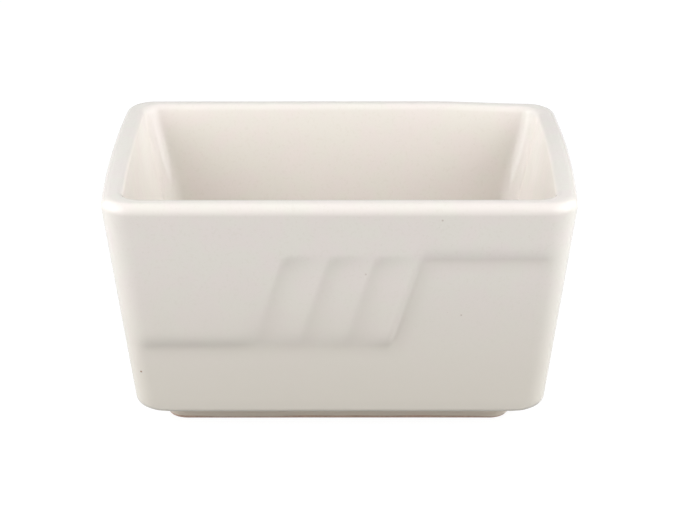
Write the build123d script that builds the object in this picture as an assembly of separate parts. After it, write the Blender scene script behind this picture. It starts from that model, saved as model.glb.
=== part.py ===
from build123d import *
import os
from math import cos, radians, sin, tan

# Glazed china holder for sugar packets.
# A flared rectangular bowl on a foot ring, fired in one piece. A thin coat of glaze covers it inside
# and out and stops short of the table, so the ring stands on bare clay. A second patch of glaze lies
# in the hollow inside the ring. Both long walls are moulded with a shallow relief: a raised panel
# with a stepped edge, and leaning flutes where the step changes level.
#
# Millimetres, +Z up, +X along the length, front wall towards -Y.
# The origin is the centre of the foot ring, on the surface that it stands on.

# Overall size, over the glaze
LENGTH = 108.0
WIDTH = 73.0
HEIGHT = 59.0

# Outer wall
WALL_LEAN = 6.4  # degrees that each wall flares outwards
SIDE_BOW = 1.2  # how far each short side swells past its corners
RIM_CORNER = 6.5  # plan radius of the corners at the rim
BASE_CORNER = 5.5  # plan radius of the corners at the underside
RIM_OUTER_ROUND = 2.2
BASE_ROUND = 2.8  # between the walls and the underside

# Well that holds the packets
RIM_WALL = 4.8  # thickness of the wall at the rim
WELL_LEAN = 12.0  # degrees that the inside of each wall flares outwards
WELL_BOW = 0.8
MOUTH_CORNER = 4.0  # plan radius of the corners at the rim
FLOOR_CORNER = 5.6  # plan radius of the corners at the floor
FLOOR_LEVEL = 8.4
FLOOR_ROUND = 4.8  # between the walls and the floor
RIM_INNER_ROUND = 1.8

# Foot ring
FOOT_HEIGHT = 4.8  # from the table to the underside of the bowl
FOOT_INSET = 7.2  # from the edge of the underside to the ring
FOOT_CORNER = 5.0
FOOT_RING = 4.2  # width of the ring
FOOT_EDGE_ROUND = 0.5
RECESS_DEPTH = 2.6  # of the hollow inside the ring
RECESS_CORNER = 3.0

# Glaze
GLAZE = 0.3  # thickness of the coat
DRY_FOOT = 0.7  # bare height at the bottom of the ring

# Moulded relief on the long walls
RELIEF_DEPTH = 0.7  # from the raised panel to the plain band below it
RIM_BAND = 13.1  # from the rim to the upper line of the step
BASE_BAND = 18.6  # from the underside to the lower line of the step
STEP_FADE = 6.0  # length over which the step fades out towards each corner
STEP_CORNER = 3.0  # radius where the step turns from a line into a flute
FLUTES = 3
FLUTE_PITCH = 10.3  # along the length
FLUTE_SLANT = 17.0  # degrees from upright
FLUTE_CREST = 0.05  # how far each crest lies under the panel
FLUTES_SHIFT = -0.5  # from the middle of the wall to the middle of the flutes

CLEAR = 5.0  # how far a cutting shape reaches past the clay
OVERLAP = 0.05  # how far the shape behind the plain band stands out past the corners
CORNER_REACH = 1.2  # straight run kept for the rounding of a corner, in corner radii

# Worked out from the sizes above
WALL = radians(WALL_LEAN)
SLANT = radians(FLUTE_SLANT)
RIM_LOSS = RIM_OUTER_ROUND * (tan(WALL) + 1 / cos(WALL) - 1)  # sharp rim edge, past the rounded rim
UPPER_LINE = HEIGHT - RIM_BAND
LOWER_LINE = FOOT_HEIGHT + BASE_BAND
RELIEF_MIDDLE = (UPPER_LINE + LOWER_LINE) / 2
HALF_RISE = (UPPER_LINE - LOWER_LINE) / 2 / cos(WALL)  # of the step, along the leaning wall
HALF_SLANT = HALF_RISE * tan(SLANT)


def long_side(side, end, half_width, corner, swell):
    """One long side of a plan. Between its corners it stands out by the swell, or in if negative."""
    brink = end - CORNER_REACH * corner
    flat = brink - STEP_FADE
    middle = (brink + flat) / 2
    edge = side * half_width
    crown = side * (half_width + swell)
    Line((-flat, crown), (flat, crown))
    for way in (-1, 1):
        Bezier((way * flat, crown), (way * middle, crown), (way * middle, edge), (way * brink, edge))
        Line((way * brink, edge), (way * end, edge))


def outline(half_length, half_width, bow, corner, level, swell=None):
    """Plan with bowed short sides and rounded corners. Its long sides are plain, or swell."""
    end = half_length - bow
    with BuildSketch(Plane.XY.offset(level)) as plan:
        with BuildLine():
            for side in (-1, 1):
                ThreePointArc((side * end, -half_width), (side * half_length, 0), (side * end, half_width))
                if swell is None:
                    Line((-end, side * half_width), (end, side * half_width))
                else:
                    long_side(side, end, half_width, corner, swell)
        make_face()
        ends = plan.vertices().group_by(Axis.X)
        fillet(ends[0] + ends[-1], corner)
    return plan.sketch.face()


def wall_inset(level):
    """How far the outer wall stands inside the overall size at one level."""
    return (HEIGHT - level) * tan(WALL) - RIM_LOSS


def outer_block(skin, proud):
    """Solid inside the outer walls, skin deep under the glaze.

    The corners run straight from the raised panel at the rim to the plain band at the underside.
    Between its corners each long wall stands proud of the plain band by the same amount all the way.
    """
    base = (FOOT_HEIGHT + skin, BASE_CORNER, RELIEF_DEPTH)
    rim = (HEIGHT - skin, RIM_CORNER, 0.0)
    sections = []
    for level, corner, depth in (base, rim):
        inset = wall_inset(level) + skin / cos(WALL)
        half_width = WIDTH / 2 - inset - depth
        swell = proud - RELIEF_DEPTH + depth
        sections.append(outline(LENGTH / 2 - inset, half_width, SIDE_BOW, corner - skin, level, swell))
    block = loft(sections, ruled=True)
    block = fillet(block.edges().group_by(Axis.Z)[0], BASE_ROUND - skin)
    return fillet(block.edges().group_by(Axis.Z)[-1], RIM_OUTER_ROUND - skin)


def front_wall(skin):
    """Plane of the front wall, skin deep under the glaze, centred at half the height of the step.

    It also lies up and to the left, so that the glaze keeps its thickness on the edges of the step.
    """
    middle = (0, wall_inset(RELIEF_MIDDLE) - WIDTH / 2, RELIEF_MIDDLE)
    surface = Plane(middle, x_dir=(1, 0, 0), z_dir=(0, -cos(WALL), -sin(WALL)))
    left = skin * (1 - sin(SLANT)) / cos(SLANT)
    return Plane(surface.from_local_coords((-left, skin, -skin)), surface.x_dir, surface.z_dir)


def step_cutter(skin):
    """What the plain band lacks: the front of the wall below and beside the step."""
    turn = FLUTES_SHIFT + FLUTES * FLUTE_PITCH / 2
    far = LENGTH / 2 + CLEAR
    below = -HALF_RISE - BASE_BAND - CLEAR
    with BuildSketch(front_wall(skin)) as band:
        with BuildLine():
            Polyline(
                (-far, -HALF_RISE),
                (turn - HALF_SLANT, -HALF_RISE),
                (turn + HALF_SLANT, HALF_RISE),
                (far, HALF_RISE),
                (far, below),
                (-far, below),
                close=True,
            )
        make_face()
        turns = band.vertices().sort_by(Axis.X)[2:4]
        fillet(turns, STEP_CORNER)
    slab = extrude(band.sketch, CLEAR) + extrude(band.sketch, -BASE_ROUND - CLEAR)
    return slab - outer_block(skin - OVERLAP, -OVERLAP)


def flute_cutter(skin, number):
    """One flute: deep along its left edge, and rising from there to a crest at the next flute."""
    wall = front_wall(skin)
    left = FLUTES_SHIFT + (number - FLUTES / 2) * FLUTE_PITCH
    with BuildSketch(wall) as face:
        with BuildLine():
            Polyline(
                (left - HALF_SLANT, -HALF_RISE),
                (left + HALF_SLANT, HALF_RISE),
                (left + HALF_SLANT + FLUTE_PITCH, HALF_RISE),
                (left - HALF_SLANT + FLUTE_PITCH, -HALF_RISE),
                close=True,
            )
        make_face()
        upper_left = face.vertices().group_by(Axis.Y)[-1].sort_by(Axis.X)[0]
        fillet(upper_left, STEP_CORNER)
    slab = extrude(face.sketch, CLEAR) + extrude(face.sketch, -RELIEF_DEPTH)

    across = Plane(wall.from_local_coords((left, 0, 0)), x_dir=wall.x_dir, z_dir=wall.y_dir)
    with BuildSketch(across) as ramp:
        with BuildLine():
            Polyline(
                (0, RELIEF_DEPTH),
                (FLUTE_PITCH, FLUTE_CREST),
                (FLUTE_PITCH, -CLEAR),
                (0, -CLEAR),
                close=True,
            )
        make_face()
    along = wall.y_dir * cos(SLANT) + wall.x_dir * sin(SLANT)
    wedge = extrude(ramp.sketch, 2 * HALF_RISE, dir=along, both=True)
    return slab & wedge


def well(skin):
    """The hollow for the packets, cut skin deeper than the finished surface."""
    lean = radians(WELL_LEAN)
    sections = []
    for level, corner in ((FLOOR_LEVEL - skin, FLOOR_CORNER), (HEIGHT + CLEAR, MOUTH_CORNER)):
        inset = RIM_WALL + (HEIGHT - level) * tan(lean) - skin / cos(lean)
        sections.append(outline(LENGTH / 2 - inset, WIDTH / 2 - inset, WELL_BOW, corner + skin, level))
    hollow = loft(sections, ruled=True)
    return fillet(hollow.edges().group_by(Axis.Z)[0], FLOOR_ROUND + skin)


def foot_prism(inset, corner, bottom, top):
    """Upright block with the plan of the foot ring, drawn in by the inset."""
    edge = wall_inset(FOOT_HEIGHT) + FOOT_INSET + inset
    plan = outline(LENGTH / 2 - edge, WIDTH / 2 - edge, SIDE_BOW, corner, bottom)
    return extrude(plan, top - bottom, dir=(0, 0, 1))


def holder(skin, bottom):
    """The whole shape, skin deep under the glaze, with a foot ring that reaches down to the bottom."""
    shape = outer_block(skin, RELIEF_DEPTH)
    cutters = [step_cutter(skin)] + [flute_cutter(skin, number) for number in range(FLUTES)]
    for cutter in cutters:
        shape -= cutter
        shape -= cutter.rotate(Axis.Z, 180)
    shape -= well(skin)
    mouth = shape.faces().sort_by(Axis.Z)[-1].inner_wires()[0]
    shape = fillet(mouth.edges(), RIM_INNER_ROUND - skin)
    shape += foot_prism(skin, FOOT_CORNER - skin, bottom, (FOOT_HEIGHT + FLOOR_LEVEL) / 2)
    ceiling = RECESS_DEPTH + skin
    return shape - foot_prism(FOOT_RING - skin, RECESS_CORNER + skin, bottom - CLEAR, ceiling)


def clay_body():
    """Fired clay: everything under the glaze, down to the bare foot ring."""
    clay = holder(GLAZE, 0)
    standing_edges = clay.edges().filter_by_position(Axis.Z, -FOOT_EDGE_ROUND / 2, FOOT_EDGE_ROUND / 2)
    return fillet(standing_edges, FOOT_EDGE_ROUND)


def glaze(clay):
    """The coats between the finished surface and the clay, largest first."""
    coats = holder(0, DRY_FOOT) - clay
    return coats.solids().sort_by(SortBy.VOLUME, reverse=True)


body = clay_body()
coat, patch = glaze(body)

os.makedirs("parts", exist_ok=True)
for name, solid in (("clay_body", body), ("glaze_coat", coat), ("underside_glaze", patch)):
    export_step(solid, f"parts/{name}.step")
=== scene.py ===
from collections import namedtuple
from math import cos, pi, radians, sin, tan

import bpy
import numpy as np
from mathutils import Matrix, Vector


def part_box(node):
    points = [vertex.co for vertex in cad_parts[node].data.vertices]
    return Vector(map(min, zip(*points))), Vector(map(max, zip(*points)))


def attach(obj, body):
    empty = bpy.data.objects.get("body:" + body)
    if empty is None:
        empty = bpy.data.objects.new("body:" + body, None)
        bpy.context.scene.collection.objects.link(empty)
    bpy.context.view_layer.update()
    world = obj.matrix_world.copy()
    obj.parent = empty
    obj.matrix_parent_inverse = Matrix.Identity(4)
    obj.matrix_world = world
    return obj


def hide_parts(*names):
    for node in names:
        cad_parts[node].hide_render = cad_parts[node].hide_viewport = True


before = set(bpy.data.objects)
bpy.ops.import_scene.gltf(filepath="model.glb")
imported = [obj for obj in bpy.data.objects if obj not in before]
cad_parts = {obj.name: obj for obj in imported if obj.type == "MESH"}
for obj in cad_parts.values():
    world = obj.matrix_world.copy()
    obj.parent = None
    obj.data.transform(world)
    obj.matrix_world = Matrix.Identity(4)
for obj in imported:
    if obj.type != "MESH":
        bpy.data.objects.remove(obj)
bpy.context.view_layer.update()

MM = 0.001

# Sizes that the frame gives, in millimetres
coat_low, coat_high = (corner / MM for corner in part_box("glaze_coat"))
clay_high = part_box("clay_body")[1] / MM
patch_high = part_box("underside_glaze")[1] / MM
HALF_LENGTH = coat_high.x
HALF_WIDTH = coat_high.y
HEIGHT = coat_high.z
DRY_FOOT = coat_low.z
GLAZE = coat_high.z - clay_high.z
RECESS_INSET = HALF_LENGTH - patch_high.x + GLAZE
RECESS_DEPTH = patch_high.z - GLAZE

# Outer wall, in millimetres and radians
WALL_LEAN = radians(6.4)
SIDE_BOW = 1.2  # how far each short side swells past its corners
RIM_CORNER = 6.5
BASE_CORNER = 5.5
RIM_OUTER_ROUND = 2.2
BASE_ROUND = 2.8
LONG_EDGE_SHARE = 0.45  # of that round, along the bottom of the long walls

# Well
RIM_WALL = 4.8
WELL_LEAN = radians(12.0)
WELL_BOW = 0.8
MOUTH_CORNER = 4.15
FLOOR_CORNER = 5.6
FLOOR_LEVEL = 8.4
FLOOR_ROUND = 4.8
RIM_INNER_ROUND = 1.8

# Foot ring
FOOT_HEIGHT = 4.8
FOOT_RING = 4.2
FOOT_CORNER = 5.0
FOOT_THROAT = 0.8  # round between the foot and the underside
FOOT_EDGE_ROUND = 0.5
FOOT_SLIDE = 1.0  # how much more the right end of the foot is set in
FOOT_SLIDE_SPAN = (12.0, 42.0)  # where along the length that starts and is full
RECESS_CORNER = 3.0
RECESS_ROUND = 0.8
FOOT_INSET = RECESS_INSET - FOOT_RING
LAND_FALL = 0.02  # keeps loops that lie inside one another out of one plane
BASE_ROUND_TOP = FOOT_HEIGHT + BASE_ROUND * (1 - sin(WALL_LEAN))  # where the round meets the wall

# Edge of the glaze on the foot
LIP_ROUND = 0.2
LIP_GAP = 0.05  # from that edge down to the bare clay
DRY_LINE_WAVE = 0.22  # how far the edge wanders up and down
DRY_LINE_REACH = 1.4  # height over which the wandering fades out
# Each wave of it: height, turn along and across in radians a millimetre, and start
DRY_LINE_WAVES = ((1.0, 0.09, 0.0, 0.8), (0.7, 0.21, -0.13, 0.0), (0.5, 0.47, 0.3, 0.0))

# Relief on the long walls: a step that climbs from the left to the right, with flutes where it climbs
RELIEF_DEPTH = 0.7  # from the panel to the plain band, at the corners
UPPER_LINE = 45.9  # level of the step on the right
LOWER_LINE = 23.4  # level of the step on the left
RELIEF_MIDDLE = (UPPER_LINE + LOWER_LINE) / 2
LOWER_DEPTH = 0.9  # of the step at its lower line
UPPER_DEPTH = 0.6  # of the step at its upper line
LINE_ROLL = 4.2  # length of the soft roll before the edge of the step
LINE_HOLLOW = 2.6  # length of the hollow behind that edge
LINE_POWER = 2.8  # how tightly a roll and a hollow turn at their edge
EDGE_SHARPNESS = 3.0  # of the leaning edge of the step, against its lines
STEP_CORNER = 3.0
FLUTES = 3
FLUTE_PITCH = 10.3
FLUTE_SLANT = radians(17.0)
FLUTES_SHIFT = -0.5  # from the middle of the wall to the middle of the flutes
FLUTE_DEPTH = 0.75
FLUTE_ROLL = 0.8
FLUTE_HOLLOW = 3.6
FLUTE_TOP_SOFTNESS = 1.8  # how much more slowly a flute starts under the upper line
FLUTE_SOFTENING = 1.6  # how much softer the edge of a flute is at its foot
FLUTE_FADE = 0.35  # share of its depth that a flute loses on its way down
FLUTE_RUN_OUT = 0.4  # how far the wall is set back where the flutes run out
GATHER_START = -0.4  # glaze gathers from here, before an edge
GATHER_PEAK = 0.6  # most of it is here, behind the edge
GATHER_END = 5.0  # and none is left here
CORNER_FADE_START = -1.0  # the relief fades out from here, before a corner starts to turn
CORNER_FADE_END = 4.5  # to here, past that
RIM_CLEAR = 4.0  # height under the rim where columns of points stand upright again

# One corner of the rim that sagged in the kiln: how far, and where that starts and is full
SAG = 0.75
SAG_ACROSS = (21.0, 50.0)
SAG_BACK = (0.0, 32.0)
SAG_UP = (15.0, 56.0)

# Fineness of the mesh: counts, and spacings and spans in millimetres
CORNER_STEPS = 10
ROUND_STEPS = 8
SMALL_ROUND_STEPS = 4
LIP_STEPS = 2
WELL_ROWS = 14
FINE_COLUMN = 0.5
FINE_HALF_SPAN = 24.0
WIDE_COLUMN = 2.2
WIDE_HALF_SPAN = 45.0
SHORT_COLUMN = 2.5
SHORT_HALF_SPAN = 25.0
FINE_ROW = 0.5
FINE_ROWS_SPAN = 4.5
WIDE_ROW = 1.2
CUT_THRESHOLD = 1e-7  # in metres
SHARP_ANGLE = radians(50)

# What covers the clay at a ring
BARE = 0
BOWL_COAT = 1
RECESS_COAT = 2

# Relief of a point: 1 on the outer wall, 0 elsewhere, and between them on the faces that join the two
ON_WALL = 0.99
OFF_WALL = 0.5

Ring = namedtuple("Ring", "half_length half_width corner level bow relief coat")


def ring(inset, corner, level, bow=0.0, drop=0.0, relief=0, coat=BOWL_COAT):
    """A level loop with rounded corners, set in from the overall length and width."""
    return Ring(HALF_LENGTH - inset - bow, HALF_WIDTH - inset - drop, corner, level, bow, relief, coat)


def steps(first, last, count):
    """Evenly spaced values, both ends included."""
    return [first + (last - first) * step / count for step in range(count + 1)]


def round_steps(radius, first, last, count):
    """Steps around a rounded edge: how far each is drawn in from the side, and from the end."""
    return [(radius * (1 - cos(turn)), radius * (1 - sin(turn))) for turn in steps(first, last, count)]


def wall_inset(level):
    """How far the outer wall stands inside the overall size at one level."""
    edge_loss = RIM_OUTER_ROUND * (tan(WALL_LEAN) + 1 / cos(WALL_LEAN) - 1)
    return (HEIGHT - level) * tan(WALL_LEAN) - edge_loss


def wall_share(level):
    """0 at the underside, 1 at the rim."""
    return (level - FOOT_HEIGHT) / (HEIGHT - FOOT_HEIGHT)


def wall_drop(level):
    """How far the corners of the outer wall stand back from the panel at one level."""
    return RELIEF_DEPTH * (1 - wall_share(level))


def wall_corner(level):
    return BASE_CORNER + (RIM_CORNER - BASE_CORNER) * wall_share(level)


def well_inset(level):
    return RIM_WALL + (HEIGHT - level) * tan(WELL_LEAN)


def well_corner(level):
    return MOUTH_CORNER + (FLOOR_CORNER - MOUTH_CORNER) * (HEIGHT - level) / (HEIGHT - FLOOR_LEVEL)


def tangent_reach(radius, lean):
    """From a sharp edge to the centre of the round that joins a leaning wall to a level face."""
    return radius * (1 - sin(lean)) / cos(lean)


def wall_ring(inset, corner, level):
    """A loop of the outer wall, which takes the relief."""
    return ring(inset, corner, level, SIDE_BOW, wall_drop(level), 1)


def recess_rings():
    """The glazed hollow under the foot, from its ceiling down to the edge of its glaze."""
    rings = []
    for drop, reach in round_steps(RECESS_ROUND, 0, pi / 2, SMALL_ROUND_STEPS):
        rings.append(ring(RECESS_INSET + reach, RECESS_CORNER - reach, RECESS_DEPTH - drop, coat=RECESS_COAT))
    for reach, rise in round_steps(LIP_ROUND, 0, pi / 2, LIP_STEPS):
        rings.append(ring(RECESS_INSET - reach, RECESS_CORNER + reach, DRY_FOOT + rise, coat=RECESS_COAT))
    return rings


def bare_foot_rings():
    """The dry ring that the holder stands on, from the hollow out to the edge of the glaze."""
    inner = RECESS_INSET - GLAZE
    outer = FOOT_INSET + GLAZE
    inner_corner = RECESS_CORNER + GLAZE
    outer_corner = FOOT_CORNER - GLAZE
    rings = [ring(inner, inner_corner, DRY_FOOT - LIP_GAP, coat=BARE)]
    for reach, rise in round_steps(FOOT_EDGE_ROUND, 0, pi / 2, SMALL_ROUND_STEPS):
        rings.append(ring(inner - reach, inner_corner + reach, LAND_FALL + rise, coat=BARE))
    for reach, rise in round_steps(FOOT_EDGE_ROUND, pi / 2, 0, SMALL_ROUND_STEPS):
        rings.append(ring(outer + reach, outer_corner - reach, rise, coat=BARE))
    rings.append(ring(outer, outer_corner, DRY_FOOT - LIP_GAP, coat=BARE))
    return rings


def glazed_foot_rings():
    """The glazed part of the foot, up to the underside."""
    rings = []
    for reach, rise in round_steps(LIP_ROUND, pi / 2, 0, LIP_STEPS):
        rings.append(ring(FOOT_INSET + reach, FOOT_CORNER - reach, DRY_FOOT + rise))
    rings.append(ring(FOOT_INSET, FOOT_CORNER, DRY_FOOT + DRY_LINE_REACH))
    for reach, drop in round_steps(FOOT_THROAT, 0, pi / 2, SMALL_ROUND_STEPS):
        rings.append(ring(FOOT_INSET - reach, FOOT_CORNER + reach, FOOT_HEIGHT - drop))
    return rings


def wall_levels(low, high):
    """Levels for the rows of the outer wall: close together near the two lines of the step."""
    levels = [low]
    while levels[-1] < high:
        near = min(abs(levels[-1] - line) for line in (LOWER_LINE, UPPER_LINE))
        levels.append(levels[-1] + (FINE_ROW if near < FINE_ROWS_SPAN else WIDE_ROW))
    return levels[1:-1]


def outer_wall_rings():
    """The base round, the leaning wall and the outer round of the rim."""
    rings = []
    low = BASE_ROUND_TOP
    side = wall_inset(FOOT_HEIGHT) + tangent_reach(BASE_ROUND, WALL_LEAN) - BASE_ROUND
    for reach, rise in round_steps(BASE_ROUND, pi / 2, WALL_LEAN, ROUND_STEPS):
        inset = side + reach
        corner = wall_corner(low) + wall_inset(low) - inset
        rings.append(wall_ring(inset, corner, FOOT_HEIGHT + LAND_FALL + rise))

    high = HEIGHT - RIM_OUTER_ROUND * (1 + sin(WALL_LEAN))
    for level in wall_levels(low, high):
        rings.append(wall_ring(wall_inset(level), wall_corner(level), level))

    for reach, drop in round_steps(RIM_OUTER_ROUND, -WALL_LEAN, pi / 2, ROUND_STEPS):
        corner = wall_corner(high) + wall_inset(high) - reach
        rings.append(wall_ring(reach, corner, HEIGHT - drop))
    return rings


def well_rings():
    """The inner round of the rim, the well's wall and the round at its floor."""
    rings = []
    high = HEIGHT - RIM_INNER_ROUND * (1 - sin(WELL_LEAN))
    side = RIM_WALL - tangent_reach(RIM_INNER_ROUND, WELL_LEAN) - RIM_INNER_ROUND
    for reach, drop in round_steps(RIM_INNER_ROUND, pi / 2, pi - WELL_LEAN, ROUND_STEPS):
        inset = side + reach
        corner = well_corner(high) + well_inset(high) - inset
        rings.append(ring(inset, corner, HEIGHT - LAND_FALL - drop, WELL_BOW))

    low = FLOOR_LEVEL + FLOOR_ROUND * (1 - sin(WELL_LEAN))
    for level in steps(high, low, WELL_ROWS)[1:-1]:
        rings.append(ring(well_inset(level), well_corner(level), level, WELL_BOW))

    side = well_inset(FLOOR_LEVEL) + tangent_reach(FLOOR_ROUND, WELL_LEAN) - FLOOR_ROUND
    for reach, rise in round_steps(FLOOR_ROUND, WELL_LEAN, pi / 2, ROUND_STEPS):
        inset = side + reach
        corner = well_corner(low) + well_inset(low) - inset
        rings.append(ring(inset, corner, FLOOR_LEVEL + rise, WELL_BOW))
    return rings


def choose(piece):
    """Make one object the only one selected, and the active one."""
    bpy.ops.object.select_all(action="DESELECT")
    bpy.context.view_layer.objects.active = piece
    piece.select_set(True)


def edit(piece):
    choose(piece)
    bpy.ops.object.mode_set(mode="EDIT")


def leave_edit():
    bpy.ops.object.mode_set(mode="OBJECT")


def start_mesh(name):
    """A new empty mesh object in edit mode, alone in the selection."""
    piece = bpy.data.objects.new(name, bpy.data.meshes.new(name))
    bpy.context.scene.collection.objects.link(piece)
    edit(piece)
    return piece


def select_points(piece, flags):
    """In edit mode, select just the flagged points."""
    bpy.ops.mesh.select_all(action="DESELECT")
    leave_edit()
    piece.data.vertices.foreach_set("select", flags)
    bpy.ops.object.mode_set(mode="EDIT")


def read_points(piece):
    """The points of a mesh, in millimetres."""
    flat = np.empty(3 * len(piece.data.vertices))
    piece.data.vertices.foreach_get("co", flat)
    return flat.reshape(-1, 3) / MM


def write_points(piece, points):
    piece.data.vertices.foreach_set("co", (points * MM).ravel())
    piece.data.update()


def read_values(piece, field):
    values = np.empty(len(piece.data.vertices))
    piece.data.attributes[field].data.foreach_get("value", values)
    return values


def write_values(piece, field, values):
    layer = piece.data.attributes.new(field, "FLOAT", "POINT")
    layer.data.foreach_set("value", values)


def add_ring(shape):
    """Add one loop of edges to the mesh in edit mode."""
    middle = (0, 0, shape.level * MM)
    bpy.ops.mesh.primitive_plane_add(size=2 * MM, location=middle)
    size = (shape.half_length, shape.half_width, 1)
    bpy.ops.transform.resize(value=size, center_override=middle)
    bpy.ops.mesh.bevel(offset=shape.corner * MM, segments=CORNER_STEPS, affect="VERTICES", profile=0.5)
    bpy.ops.mesh.delete(type="ONLY_FACE")


def join_rings(piece, rings):
    """Bridge each loop to the next, close both ends with a face, and keep each loop's values."""
    ring_points = 4 * (CORNER_STEPS + 1)
    numbers = np.arange(len(piece.data.vertices)) // ring_points
    for number in range(len(rings) - 1):
        select_points(piece, (numbers == number) | (numbers == number + 1))
        bpy.ops.mesh.bridge_edge_loops()
    for number in (0, len(rings) - 1):
        select_points(piece, numbers == number)
        bpy.ops.mesh.edge_face_add()
    bpy.ops.mesh.select_all(action="SELECT")
    bpy.ops.mesh.normals_make_consistent(inside=False)
    leave_edit()
    for field in ("half_length", "half_width", "bow", "relief", "coat"):
        values = [float(getattr(shape, field)) for shape in rings]
        write_values(piece, field, np.repeat(values, ring_points))


def spread(spacing, half_span):
    """Places across a span, evenly spaced about the middle."""
    count = round(half_span / spacing)
    return [number * spacing for number in range(-count, count + 1)]


def cut_columns(piece):
    """Cut the faces across, finely where the flutes are."""
    wide = [place for place in spread(WIDE_COLUMN, WIDE_HALF_SPAN) if abs(place) > FINE_HALF_SPAN]
    edit(piece)
    for place in spread(FINE_COLUMN, FINE_HALF_SPAN) + wide:
        bpy.ops.mesh.select_all(action="SELECT")
        bpy.ops.mesh.bisect(plane_co=(place * MM, 0, 0), plane_no=(1, 0, 0), threshold=CUT_THRESHOLD)
    for place in spread(SHORT_COLUMN, SHORT_HALF_SPAN):
        bpy.ops.mesh.select_all(action="SELECT")
        bpy.ops.mesh.bisect(plane_co=(0, place * MM, 0), plane_no=(0, 1, 0), threshold=CUT_THRESHOLD)
    leave_edit()


def ease(value, start, end):
    """A smooth rise from 0 at start to 1 at end."""
    share = np.clip((value - start) / (end - start), 0, 1)
    return share * share * (3 - 2 * share)


def soft_least(first, second, width):
    """The lesser of two values, rounded where they are close."""
    share = np.clip(0.5 + 0.5 * (second - first) / width, 0, 1)
    return second + (first - second) * share - width * share * (1 - share)


def soft_most(first, second, width):
    return -soft_least(-first, -second, width)


def step_profile(reach, roll, hollow):
    """A soft step down across an edge: 0 before the roll, 1 after the hollow."""
    before = roll * np.clip((reach + roll) / roll, 0, 1) ** LINE_POWER
    after = roll + hollow * (1 - np.clip(1 - reach / hollow, 0, 1) ** LINE_POWER)
    return np.where(reach < 0, before, after) / (roll + hollow)


def gathered(reach):
    """How much glaze gathers past an edge: most just behind it."""
    return ease(reach, GATHER_START, GATHER_PEAK) * (1 - ease(reach, GATHER_PEAK, GATHER_END))


def past_flute_edges(across, level):
    """How far points lie past the left edge of each flute, and past the right edge of the last."""
    along = across - tan(FLUTE_SLANT) * (level - RELIEF_MIDDLE)
    edges = [FLUTES_SHIFT + (number - FLUTES / 2) * FLUTE_PITCH for number in range(FLUTES + 1)]
    return [(along - edge) * cos(FLUTE_SLANT) for edge in edges]


def past_step(past_flutes, level):
    """How far points lie in the plain band: under the lower line, or under the upper one past the flutes."""
    beside = soft_least(past_flutes, UPPER_LINE - level, STEP_CORNER)
    return soft_most(LOWER_LINE - level, beside, STEP_CORNER)


def relief_shape(across, level):
    """How far the wall is set back by the moulded step and its flutes, and where glaze gathers there."""
    *past_edges, past_flutes = past_flute_edges(across, level)
    step = step_profile(past_step(past_flutes * EDGE_SHARPNESS, level), LINE_ROLL, LINE_HOLLOW)
    step_depth = LOWER_DEPTH + (UPPER_DEPTH - LOWER_DEPTH) * ease(level, LOWER_LINE, UPPER_LINE)
    gather = gathered(past_step(past_flutes, level))

    # Each flute is deep at its left edge, rises to the right, and fades and softens on its way down
    under_upper = UPPER_LINE - level
    way_down = np.clip(under_upper / (UPPER_LINE - LOWER_LINE), 0, 1)
    among_flutes = ease(past_edges[0], -FLUTE_PITCH / 2, 0) * (1 - ease(past_flutes, -FLUTE_PITCH / 2, 0))
    flutes = FLUTE_RUN_OUT * way_down ** 4 * among_flutes
    flute_depth = FLUTE_DEPTH * (1 - FLUTE_FADE * way_down)
    softness = 1 + FLUTE_SOFTENING * way_down ** 2
    for past_edge in past_edges:
        reach = soft_least(past_edge, under_upper / FLUTE_TOP_SOFTNESS, STEP_CORNER / 2) / softness
        ramp = np.clip(1 - past_edge / (FLUTE_PITCH * cos(FLUTE_SLANT)), 0, 1)
        flutes = flutes + flute_depth * step_profile(reach, FLUTE_ROLL, FLUTE_HOLLOW) * ramp
        gather = np.maximum(gather, gathered(reach) * ramp ** 2 * (1 - step))
    return step_depth * step + flutes * (1 - step), gather


def leaned(across, level):
    """Columns of points on the wall, leaned so that they run along the flutes."""
    slide = tan(FLUTE_SLANT) * (level - RELIEF_MIDDLE)
    slide = slide * ease(level, FOOT_HEIGHT + BASE_ROUND, LOWER_LINE)
    slide = slide * (1 - ease(level, UPPER_LINE, HEIGHT - RIM_CLEAR))
    return across + slide * (1 - ease(np.abs(across), FINE_HALF_SPAN, WIDE_HALF_SPAN))


def tightening(level, share):
    """How much of the way points of the base round move to its sharp edge, along the long walls."""
    return (1 - LONG_EDGE_SHARE) * share * (level < BASE_ROUND_TOP + 2 * LAND_FALL)


def dry_line_shift(x, y, level):
    """How far the edge of the glaze on the foot wanders up or down."""
    waves = [height * np.sin(along * x + back * y + start) for height, along, back, start in DRY_LINE_WAVES]
    near_line = np.clip(level / DRY_FOOT, 0, 1) * np.clip(1 - (level - DRY_FOOT) / DRY_LINE_REACH, 0, 1)
    return DRY_LINE_WAVE / 2 * sum(waves) * near_line


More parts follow.
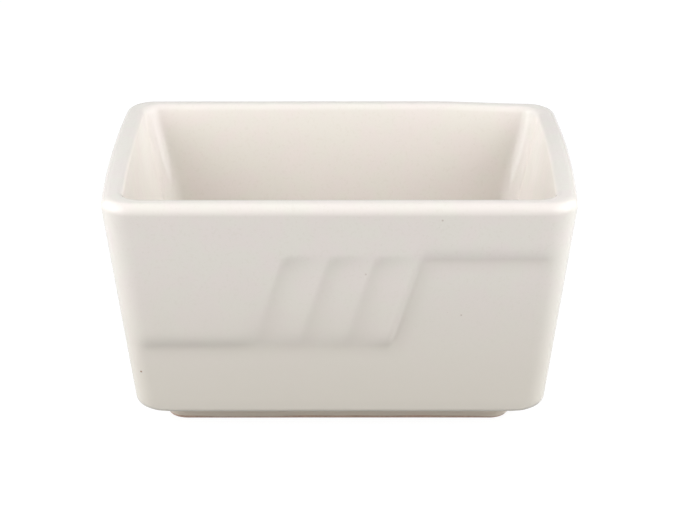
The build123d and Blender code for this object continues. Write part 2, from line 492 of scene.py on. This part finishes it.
def shape_surface(piece):
    """Bow the short sides, press in the relief, tighten the long bottom edges, and make it uneven."""
    x, y, z = read_points(piece).T
    half_length = read_values(piece, "half_length")
    half_width = read_values(piece, "half_width")
    relief = read_values(piece, "relief")
    on_wall = relief > ON_WALL

    on_side = 1 - np.clip(y / half_width, -1, 1) ** 2
    x = x + read_values(piece, "bow") * x / half_length * on_side

    # The back wall is the front wall, turned half round
    side = np.where(y < 0, 1, -1)
    across = np.where(on_wall, leaned(x * side, z), x * side)
    x = across * side

    corner_start = half_length - wall_corner(z)
    fade = 1 - ease(np.abs(across), corner_start + CORNER_FADE_START, corner_start + CORNER_FADE_END)
    set_back, gather = relief_shape(across, z)
    y = y - side * (wall_drop(z) - set_back) * fade * relief
    write_values(piece, "gather", gather * fade * on_wall)

    tighter = tightening(z, fade * on_wall)
    inset = HALF_WIDTH - wall_drop(z) - half_width
    y = y - side * tighter * (inset - wall_inset(FOOT_HEIGHT))
    z = z - tighter * (z - FOOT_HEIGHT - LAND_FALL)

    z = z + dry_line_shift(x, y, z)
    in_foot = (relief < OFF_WALL) & (z < FOOT_HEIGHT + LAND_FALL / 2)
    x = x - FOOT_SLIDE * ease(x, *FOOT_SLIDE_SPAN) * in_foot
    z = z - SAG * ease(x, *SAG_ACROSS) * ease(y, *SAG_BACK) * ease(z, *SAG_UP)
    write_points(piece, np.column_stack((x, y, z)))


def model_surface():
    """The whole finished surface of the holder, closed."""
    rings = recess_rings() + bare_foot_rings() + glazed_foot_rings() + outer_wall_rings() + well_rings()
    surface = start_mesh("finished_surface")
    for shape in rings:
        add_ring(shape)
    surface.update_from_editmode()
    join_rings(surface, rings)
    cut_columns(surface)
    shape_surface(surface)
    return surface


def copy_piece(piece, name):
    made = piece.copy()
    made.data = piece.data.copy()
    made.name = name
    made.data.name = name
    bpy.context.scene.collection.objects.link(made)
    return made


def apply_modifier(piece, kind, **settings):
    choose(piece)
    modifier = piece.modifiers.new(kind.lower(), kind)
    for name, value in settings.items():
        setattr(modifier, name, value)
    bpy.ops.object.modifier_apply(modifier=modifier.name)


def finish_piece(piece, node, material):
    """Smooth shading, the material, and the piece's place in the frame."""
    choose(piece)
    bpy.ops.object.shade_smooth_by_angle(angle=SHARP_ANGLE)
    piece.data.materials.clear()
    piece.data.materials.append(material)
    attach(piece, "root")
    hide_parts(node)


def model_clay(surface):
    """The fired body: the finished surface, set back by the glaze where there is any."""
    clay = copy_piece(surface, "clay_body_mesh")
    glazed = clay.vertex_groups.new(name="glazed")
    coat = read_values(clay, "coat")
    covered = np.isclose(coat, BOWL_COAT) | np.isclose(coat, RECESS_COAT)
    glazed.add(np.flatnonzero(covered).tolist(), 1.0, "REPLACE")
    apply_modifier(clay, "DISPLACE", strength=-GLAZE * MM, mid_level=0.0, vertex_group="glazed")
    return clay


def model_coat(surface, name, layer):
    """One layer of glaze: its part of the finished surface, given its thickness inwards."""
    coat = copy_piece(surface, name)
    bare = ~np.isclose(read_values(coat, "coat"), layer)
    edit(coat)
    select_points(coat, bare)
    bpy.ops.mesh.delete(type="VERT")
    leave_edit()
    apply_modifier(coat, "SOLIDIFY", thickness=GLAZE * MM, offset=-1.0)
    return coat


class Tone:
    """A node's output that takes part in Python sums."""

    def __init__(self, recipe, socket):
        self.recipe = recipe
        self.socket = socket

    def other(self, name):
        """Another output of the same node."""
        return Tone(self.recipe, self.socket.node.outputs[name])

    def __add__(self, other):
        return self.recipe.math("ADD", self, other)

    def __sub__(self, other):
        return self.recipe.math("SUBTRACT", self, other)

    def __rsub__(self, other):
        return self.recipe.math("SUBTRACT", other, self)

    def __mul__(self, other):
        return self.recipe.math("MULTIPLY", self, other)

    __radd__ = __add__
    __rmul__ = __mul__


class Recipe:
    """The nodes of one finish, or of the surroundings."""

    def __init__(self, tree):
        tree.nodes.clear()
        self.tree = tree

    def node(self, kind, settings, inputs, output=0):
        """Add a node: its settings first, then the values or links of its sockets."""
        made = self.tree.nodes.new(kind)
        for name, value in settings.items():
            setattr(made, name, value)
        for name, value in inputs.items():
            if isinstance(value, Tone):
                self.tree.links.new(value.socket, made.inputs[name])
            else:
                made.inputs[name].default_value = value
        return None if output is None else Tone(self, made.outputs[output])

    def math(self, operation, first, second):
        return self.node("ShaderNodeMath", {"operation": operation}, {0: first, 1: second})

    def place(self):
        return self.node("ShaderNodeTexCoord", {}, {}, "Object")

    def value_of(self, field):
        """A value that the mesh keeps at its points."""
        return self.node("ShaderNodeAttribute", {"attribute_name": field}, {}, "Fac")

    def noise(self, size, detail, roughness=0.5):
        """Cloudy values about 0.5, with the size of the clouds in millimetres."""
        inputs = {"Vector": self.place(), "Scale": 1 / (size * MM), "Detail": detail, "Roughness": roughness}
        return self.node("ShaderNodeTexNoise", {}, inputs)

    def rise(self, value, start, end):
        inputs = {"Value": value, "From Min": start, "From Max": end}
        return self.node("ShaderNodeMapRange", {"interpolation_type": "SMOOTHSTEP"}, inputs)

    def below(self, top, bottom):
        """0 above one level and 1 below another, both in millimetres."""
        level = self.node("ShaderNodeSeparateXYZ", {}, {0: self.place()}, "Z")
        return 1 - self.rise(level, bottom * MM, top * MM)

    def blend(self, share, first, second):
        """Mix two colours."""
        inputs = {0: share, 6: first, 7: second}
        return self.node("ShaderNodeMix", {"data_type": "RGBA"}, inputs, 2)

    def bump(self, height, distance, strength):
        inputs = {"Height": height, "Distance": distance * MM, "Strength": strength}
        return self.node("ShaderNodeBump", {}, inputs)

    def output(self, kind, shader):
        self.node(kind, {}, {"Surface": shader}, None)


# Colours are linear, as the shader reads them
GLAZE_CREAM = (0.80, 0.760, 0.695, 1)
GLAZE_ROSE = (0.81, 0.746, 0.700, 1)
# One colour both for the freckles and for the painted shade low on the outer wall
FRECKLE_AND_SHADE_TONE = (0.730, 0.680, 0.602, 1)
# Thin glaze on the foot, also painted darker as painted shade under the overhang
THIN_GLAZE_AND_SHADE = (0.76, 0.67, 0.56, 1)
GLAZE_GATHERED = (0.60, 0.545, 0.475, 1)
IRON_BROWN = (0.28, 0.15, 0.085, 1)
BISQUE_TAN = (0.72, 0.51, 0.41, 1)
BISQUE_DARK = (0.56, 0.38, 0.29, 1)

# How many finer layers of clouds a noise has
PLAIN_CLOUDS = 1.0
SOFT_CLOUDS = 2.0
GRAINY_CLOUDS = 4.0

# Tone of the glaze, with sizes and levels in millimetres
CLOUD_SIZE = 7.0
CLOUD_RANGE = (0.35, 0.65)
PAINTED_SHADE_LEVELS = (50.0, 4.0)  # painted shade: the outer wall is painted deeper in tone down from the first of these
THIN_GLAZE_AND_SHADE_LEVELS = (5.5, 3.5)  # the glaze thins from the first of these, and is thin from the second down; its tint there is partly painted shade under the overhang
GATHER_TINT = 0.22
FRECKLE_SIZE = 0.7
FRECKLE_RANGE = (0.56, 0.72)
FRECKLE_TINT = 0.24

# Gloss of the glaze
GLAZE_IOR = 1.42
GLAZE_ROUGHNESS = 0.03
ROUGH_CLOUD_SIZE = 9.0
ROUGH_CLOUD_SHARE = 0.03
PEEL_SIZE = 3.5
FINE_PEEL_SIZE = 0.6
FINE_PEEL_SHARE = 0.12
PEEL_HEIGHT = 0.05
PEEL_STRENGTH = 0.35

# Scattered specks: size of a cell, share of the cells with a speck, radius, and strength
SCATTERED_SPECKS = ((6.0, 0.05, 0.15, 0.5), (2.2, 0.10, 0.12, 0.22))
SCATTERED_CORE = 0.5  # share of the radius that has full strength

# Specks that stand out on the front wall: place in millimetres, and strength
PLACED_SPECKS = (
    ((-45.7, -30.4, 15.7), 0.9),
    ((22.8, -36.4, 55.5), 0.35),
    ((27.5, -33.6, 31.0), 0.55),
    ((5.9, -34.9, 41.9), 0.25),
)
PLACED_RADIUS = 0.34
PLACED_CORE = 0.3
PLACED_DEPTH_SHARE = 0.2

# Bare clay
GRAIN_SIZE = 0.5
GRAIN_ROUGHNESS = 0.65
GRAIN_RANGE = (0.3, 0.7)
GRAIN_HEIGHT = 0.08
GRAIN_STRENGTH = 0.6
CLAY_ROUGHNESS = 0.80
CLAY_ROUGHNESS_SHARE = 0.15


def new_recipe(name):
    material = bpy.data.materials.new(name)
    material.use_nodes = True
    return material, Recipe(material.node_tree)


def scattered_specks(nodes, cell, share, radius):
    """Round specks in a few of the cells of a random mosaic, sizes in millimetres."""
    inputs = {"Vector": nodes.place(), "Scale": 1 / (cell * MM)}
    mosaic = nodes.node("ShaderNodeTexVoronoi", {}, inputs)
    pick = nodes.node("ShaderNodeSeparateColor", {}, {0: mosaic.other("Color")})
    chosen = nodes.math("LESS_THAN", pick, share)
    return chosen * (1 - nodes.rise(mosaic, SCATTERED_CORE * radius / cell, radius / cell))


def placed_speck(nodes, place):
    """One round speck on the front wall, at a place in millimetres that counts less in depth."""
    shares = (1, PLACED_DEPTH_SHARE, 1)
    flat = nodes.node("ShaderNodeVectorMath", {"operation": "MULTIPLY"}, {0: nodes.place(), 1: shares})
    centre = [value * share * MM for value, share in zip(place, shares)]
    away = nodes.node("ShaderNodeVectorMath", {"operation": "DISTANCE"}, {0: flat, 1: centre}, "Value")
    return 1 - nodes.rise(away, PLACED_CORE * PLACED_RADIUS * MM, PLACED_RADIUS * MM)


def glaze_colour(nodes):
    """Warm off-white, painted deeper in tone lower down as painted shade, thin glaze and painted shade on the
    foot, with freckles and iron specks.
    """
    clouds = nodes.rise(nodes.noise(CLOUD_SIZE, SOFT_CLOUDS), *CLOUD_RANGE)
    colour = nodes.blend(clouds, GLAZE_CREAM, GLAZE_ROSE)
    # Painted shade: the outer wall is painted darker towards its foot, standing in for shade there
    colour = nodes.blend(nodes.below(*PAINTED_SHADE_LEVELS) * nodes.value_of("relief"), colour, FRECKLE_AND_SHADE_TONE)
    # Partly thin glaze and partly painted shade: the foot under the overhang is painted warmer and darker
    colour = nodes.blend(nodes.below(*THIN_GLAZE_AND_SHADE_LEVELS), colour, THIN_GLAZE_AND_SHADE)
    colour = nodes.blend(nodes.value_of("gather") * GATHER_TINT, colour, GLAZE_GATHERED)
    freckles = nodes.rise(nodes.noise(FRECKLE_SIZE, PLAIN_CLOUDS), *FRECKLE_RANGE)
    colour = nodes.blend(freckles * FRECKLE_TINT, colour, FRECKLE_AND_SHADE_TONE)
    specks = [scattered_specks(nodes, *kind) * strength for *kind, strength in SCATTERED_SPECKS]
    specks += [placed_speck(nodes, place) * strength for place, strength in PLACED_SPECKS]
    return nodes.blend(sum(specks), colour, IRON_BROWN)


def glaze_finish():
    """Gloss glaze with a faint peel."""
    material, nodes = new_recipe("cream_glaze")
    fine_peel = nodes.noise(FINE_PEEL_SIZE, PLAIN_CLOUDS)
    peel = nodes.noise(PEEL_SIZE, PLAIN_CLOUDS) + fine_peel * FINE_PEEL_SHARE
    rough_clouds = nodes.noise(ROUGH_CLOUD_SIZE, SOFT_CLOUDS)
    inputs = {
        "Base Color": glaze_colour(nodes),
        "Roughness": GLAZE_ROUGHNESS + rough_clouds * ROUGH_CLOUD_SHARE,
        "IOR": GLAZE_IOR,
        "Normal": nodes.bump(peel, PEEL_HEIGHT, PEEL_STRENGTH),
    }
    shader = nodes.node("ShaderNodeBsdfPrincipled", {}, inputs)
    nodes.output("ShaderNodeOutputMaterial", shader)
    return material


def bisque_finish():
    """Bare fired clay, matt and grainy."""
    material, nodes = new_recipe("bare_clay")
    grain = nodes.noise(GRAIN_SIZE, GRAINY_CLOUDS, GRAIN_ROUGHNESS)
    inputs = {
        "Base Color": nodes.blend(nodes.rise(grain, *GRAIN_RANGE), BISQUE_DARK, BISQUE_TAN),
        "Roughness": CLAY_ROUGHNESS + grain * CLAY_ROUGHNESS_SHARE,
        "Normal": nodes.bump(grain, GRAIN_HEIGHT, GRAIN_STRENGTH),
    }
    shader = nodes.node("ShaderNodeBsdfPrincipled", {}, inputs)
    nodes.output("ShaderNodeOutputMaterial", shader)
    return material


# View, in millimetres and radians
CAMERA_TURN = radians(-0.40)
CAMERA_TILT = radians(22.924)
CAMERA_ROLL = radians(0.195)
CAMERA_DISTANCE = 528.1
CAMERA_AIM = (-0.2, 0, 30.94)
CAMERA_LENS = 116.73
CAMERA_NEAR = 10.0

# Floor and surroundings
WHITE = (1, 1, 1, 1)
FLOOR_SPAN = 6000.0
FLOOR_BOUNCE = (0.3, 0.3, 0.3, 1)
FLOOR_GLOW = 1.07
FLOOR_GLOW_SHARE = 0.87  # the rest of the floor's white comes from the lamps and takes the shadow
AMBIENT = 0.02
GLOSS_SIGHT = 0.55  # how much of the white surroundings the gloss shows

# Lamps, in millimetres and watts, all turned to the middle of the holder
MIDDLE = (0, 0, HEIGHT / 2)
PLAIN_WHITE = (1, 1, 1)
COOL_WHITE = (0.92, 0.96, 1.0)
Lamp = namedtuple("Lamp", "name place size power colour")
LAMPS = (
    Lamp("left_front_lamp", (-480, -300, 260), 600, 3.12, PLAIN_WHITE),
    Lamp("right_front_lamp", (480, -300, 260), 600, 3.0, PLAIN_WHITE),
    Lamp("left_lamp", (-600, 40, 340), 1000, 4.7, COOL_WHITE),
    Lamp("right_lamp", (600, 40, 340), 1000, 4.9, COOL_WHITE),
    Lamp("left_high_lamp", (-380, 20, 480), 500, 0.16, COOL_WHITE),
    Lamp("right_high_lamp", (380, 20, 480), 500, 0.16, COOL_WHITE),
)


def clear_sight(nodes):
    """1 where the surroundings are seen straight or through glass, less in a gloss, else 0."""
    rays = nodes.node("ShaderNodeLightPath", {}, {}, "Is Camera Ray")
    seen = rays + rays.other("Is Glossy Ray") * GLOSS_SIGHT + rays.other("Is Transmission Ray")
    return nodes.math("MINIMUM", seen, 1.0)


def set_surroundings():
    """A room that is white to the eye and dimmer in the gloss, and that gives next to no light."""
    world = bpy.data.worlds.new("white_room")
    world.use_nodes = True
    bpy.context.scene.world = world
    nodes = Recipe(world.node_tree)
    soft = nodes.node("ShaderNodeBackground", {}, {"Color": WHITE, "Strength": AMBIENT})
    white = nodes.node("ShaderNodeBackground", {}, {"Color": WHITE, "Strength": 1.0})
    mixed = nodes.node("ShaderNodeMixShader", {}, {0: clear_sight(nodes), 1: soft, 2: white})
    nodes.output("ShaderNodeOutputWorld", mixed)


def lay_floor():
    """A floor that is white to the eye, with the shadow on it, and greyer in the light it throws back."""
    bpy.ops.object.select_all(action="DESELECT")
    bpy.ops.mesh.primitive_plane_add(size=FLOOR_SPAN * MM)
    floor = bpy.context.object
    floor.name = "studio_floor"
    material, nodes = new_recipe("pale_floor")
    sight = clear_sight(nodes)
    matt = nodes.node("ShaderNodeBsdfDiffuse", {}, {"Color": nodes.blend(sight, FLOOR_BOUNCE, WHITE)})
    white = nodes.node("ShaderNodeEmission", {}, {"Color": WHITE, "Strength": FLOOR_GLOW})
    mixed = nodes.node("ShaderNodeMixShader", {}, {0: sight * FLOOR_GLOW_SHARE, 1: matt, 2: white})
    nodes.output("ShaderNodeOutputMaterial", mixed)
    floor.data.materials.append(material)


def hang_lamp(lamp):
    """A soft square lamp."""
    light = bpy.data.lights.new(lamp.name, "AREA")
    light.size = lamp.size * MM
    light.energy = lamp.power
    light.color = lamp.colour
    hung = bpy.data.objects.new(lamp.name, light)
    bpy.context.scene.collection.objects.link(hung)
    hung.location = Vector(lamp.place) * MM
    hung.rotation_euler = (Vector(MIDDLE) - Vector(lamp.place)).to_track_quat("-Z", "Y").to_euler()


def place_camera():
    """The camera at the photograph's angle."""
    ahead = Vector((sin(CAMERA_TURN), cos(CAMERA_TURN), 0))
    forward = ahead * cos(CAMERA_TILT) - Vector((0, 0, sin(CAMERA_TILT)))
    level_right = Vector((cos(CAMERA_TURN), -sin(CAMERA_TURN), 0))
    level_up = level_right.cross(forward)
    right = level_right * cos(CAMERA_ROLL) - level_up * sin(CAMERA_ROLL)
    up = level_right * sin(CAMERA_ROLL) + level_up * cos(CAMERA_ROLL)
    lens = bpy.data.cameras.new("photo_camera")
    lens.lens = CAMERA_LENS
    lens.clip_start = CAMERA_NEAR * MM
    camera = bpy.data.objects.new("photo_camera", lens)
    bpy.context.scene.collection.objects.link(camera)
    turn = Matrix((right, up, -forward)).transposed().to_4x4()
    camera.matrix_world = Matrix.Translation((Vector(CAMERA_AIM) - forward * CAMERA_DISTANCE) * MM) @ turn
    bpy.context.scene.camera = camera


surface = model_surface()
glaze = glaze_finish()
clay = model_clay(surface)
finish_piece(clay, "clay_body", bisque_finish())
coat = model_coat(surface, "glaze_coat_mesh", BOWL_COAT)
finish_piece(coat, "glaze_coat", glaze)
patch = model_coat(surface, "underside_glaze_mesh", RECESS_COAT)
finish_piece(patch, "underside_glaze", glaze)
bpy.data.objects.remove(surface)

lay_floor()
set_surroundings()
for lamp in LAMPS:
    hang_lamp(lamp)
place_camera()
bpy.context.scene.view_settings.view_transform = "Standard"
